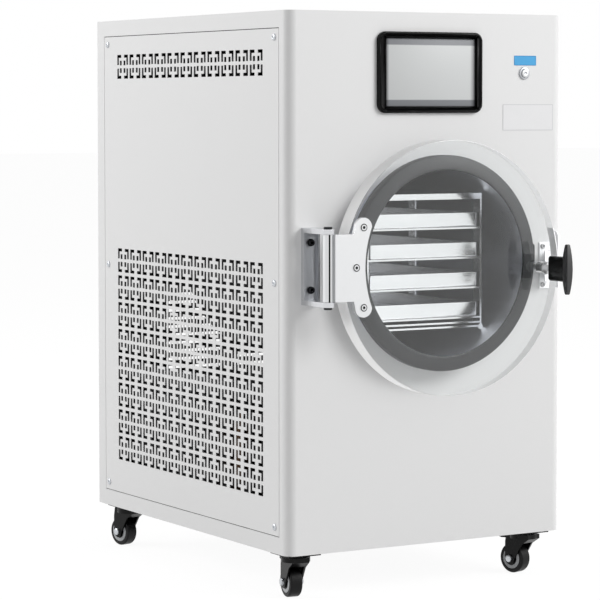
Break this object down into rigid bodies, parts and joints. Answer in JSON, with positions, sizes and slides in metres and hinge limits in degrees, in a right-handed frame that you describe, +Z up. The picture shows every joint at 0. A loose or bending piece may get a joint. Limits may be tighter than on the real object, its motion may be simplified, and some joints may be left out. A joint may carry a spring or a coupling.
{
  "type": "freeze dryer",
  "caption": "White sheet-metal freeze dryer on casters with a round vacuum chamber, thick clear hinged door, turning latch, display panel and a rack of steel trays.",
  "frame": {"origin": "on the floor under the middle of the cabinet's footprint", "axes": "+Z up, front with the door towards -Y, hinge at -X"},
  "size_m": [0.4354, 0.7, 0.76],
  "materials": {
    "white_powder_coat": "satin powder coat",
    "bare_sheet": "galvanised sheet",
    "stainless": "brushed stainless steel",
    "chrome": "bright plating",
    "zinc": "zinc plated steel",
    "aluminium": "satin anodised",
    "screw_steel": "plain steel",
    "clear_acrylic": "polished clear acrylic",
    "gasket_rubber": "matte grey silicone",
    "black_plastic": "matte black",
    "black_knob": "satin black",
    "display_glass": "glossy screen",
    "circuit_board": "green board",
    "foam": "closed-cell foam",
    "compressor_paint": "gloss black paint",
    "coil_aluminium": "bare fins",
    "copper": "bare copper",
    "brass": "bright brass",
    "grommet_rubber": "matte",
    "drain_tube": "translucent hose",
    "red_grip": "dipped vinyl",
    "caster_black": "black enamel",
    "wheel_black": "hard rubber tread"
  },
  "bodies": {
    "cabinet": {"cabinet_wrap": "white_powder_coat", "top_panel": "white_powder_coat", "base_pan": "bare_sheet", "back_panel": "white_powder_coat", "left_side_panel": "white_powder_coat", "right_side_panel": "white_powder_coat", "side_panel_screws": "white_powder_coat", "cover_screws": "white_powder_coat", "display_bezel": "black_plastic", "display_glass": "display_glass", "display_board": "circuit_board", "button_housing": "chrome", "vacuum_chamber": "stainless", "chamber_insulation": "foam", "chamber_cradle": "bare_sheet", "door_gasket": "gasket_rubber", "hinge_bracket": "chrome", "hinge_bolts": "screw_steel", "hinge_pin": "chrome", "latch_keeper": "chrome", "keeper_screws": "screw_steel", "tray_rack": "stainless", "compressor": "compressor_paint", "compressor_grommets": "grommet_rubber", "condenser": "coil_aluminium", "fan_shroud": "black_plastic", "filter_dryer": "copper", "refrigerant_lines": "copper", "electronics_shelf": "bare_sheet", "control_board": "circuit_board", "power_supply": "bare_sheet", "vacuum_port": "stainless", "power_inlet": "black_plastic", "drain_line": "drain_tube", "drain_valve": "brass", "caster_plates": "zinc", "tray_1": "stainless", "tray_2": "stainless", "tray_3": "stainless", "tray_4": "stainless"},
    "door": {"door_disc": "clear_acrylic", "hinge_arm": "aluminium", "arm_screws": "screw_steel", "latch_bush": "aluminium", "rim_guard": "gasket_rubber"},
    "latch": {"latch_spindle": "chrome", "knob": "black_knob"},
    "power_button": {"power_button": "stainless"},
    "fan": {"fan_rotor": "black_plastic"},
    "drain_lever": {"drain_lever": "red_grip"},
    "fork_front_left": {"caster_fork_front_left": "caster_black"},
    "wheel_front_left": {"caster_wheel_front_left": "wheel_black"},
    "fork_front_right": {"caster_fork_front_right": "caster_black"},
    "wheel_front_right": {"caster_wheel_front_right": "wheel_black"},
    "fork_rear_left": {"caster_fork_rear_left": "caster_black"},
    "wheel_rear_left": {"caster_wheel_rear_left": "wheel_black"},
    "fork_rear_right": {"caster_fork_rear_right": "caster_black"},
    "wheel_rear_right": {"caster_wheel_rear_right": "wheel_black"},
    "pedal_front_left": {"brake_pedal_front_left": "caster_black"},
    "pedal_front_right": {"brake_pedal_front_right": "caster_black"}
  },
  "joints": [
    {"name": "door_swing", "type": "hinge", "parent": "cabinet", "child": "door", "pos_m": [-0.187, -0.3265, 0.433], "axis": [0, 0, -1], "range_deg": [0, 165]},
    {"name": "latch_turn", "type": "hinge", "parent": "door", "child": "latch", "pos_m": [0.148, -0.3415, 0.4235], "axis": [0, 1, 0], "range_deg": [0, 90]},
    {"name": "power_press", "type": "slide", "parent": "cabinet", "child": "power_button", "axis": [0, 1, 0], "range_m": [0, 0.002], "stiffness_N_per_m": 400, "springref_m": -0.002},
    {"name": "fan_spin", "type": "hinge", "parent": "cabinet", "child": "fan", "pos_m": [-0.148, 0.055, 0.162], "axis": [1, 0, 0], "continuous": true},
    {"name": "drain_lever_turn", "type": "hinge", "parent": "cabinet", "child": "drain_lever", "pos_m": [0.12, 0.2865, 0.1645], "axis": [0, 0, 1], "range_deg": [0, 90]},
    {"name": "swivel_front_left", "type": "hinge", "parent": "cabinet", "child": "fork_front_left", "pos_m": [-0.188, -0.247, 0.055], "axis": [0, 0, 1], "continuous": true},
    {"name": "roll_front_left", "type": "hinge", "parent": "fork_front_left", "child": "wheel_front_left", "pos_m": [-0.18578, -0.23217, 0.02], "axis": [-0.989, 0.1478, 0], "continuous": true},
    {"name": "swivel_front_right", "type": "hinge", "parent": "cabinet", "child": "fork_front_right", "pos_m": [0.173, -0.247, 0.055], "axis": [0, 0, 1], "continuous": true},
    {"name": "roll_front_right", "type": "hinge", "parent": "fork_front_right", "child": "wheel_front_right", "pos_m": [0.16912, -0.23251, 0.02], "axis": [-0.9659, -0.2588, 0], "continuous": true},
    {"name": "swivel_rear_left", "type": "hinge", "parent": "cabinet", "child": "fork_rear_left", "pos_m": [-0.188, 0.228, 0.055], "axis": [0, 0, 1], "continuous": true},
    {"name": "roll_rear_left", "type": "hinge", "parent": "fork_rear_left", "child": "wheel_rear_left", "pos_m": [-0.19137, 0.24262, 0.02], "axis": [-0.9744, -0.225, 0], "continuous": true},
    {"name": "swivel_rear_right", "type": "hinge", "parent": "cabinet", "child": "fork_rear_right", "pos_m": [0.173, 0.228, 0.055], "axis": [0, 0, 1], "continuous": true},
    {"name": "roll_rear_right", "type": "hinge", "parent": "fork_rear_right", "child": "wheel_rear_right", "pos_m": [0.17117, 0.24289, 0.02], "axis": [-0.9925, -0.1219, 0], "continuous": true},
    {"name": "brake_front_left", "type": "hinge", "parent": "fork_front_left", "child": "pedal_front_left", "pos_m": [-0.18563, -0.23118, 0.0475], "axis": [-0.989, 0.1478, 0], "range_deg": [0, 20]},
    {"name": "brake_front_right", "type": "hinge", "parent": "fork_front_right", "child": "pedal_front_right", "pos_m": [0.16886, -0.23155, 0.0475], "axis": [-0.9659, -0.2588, 0], "range_deg": [0, 20]}
  ]
}
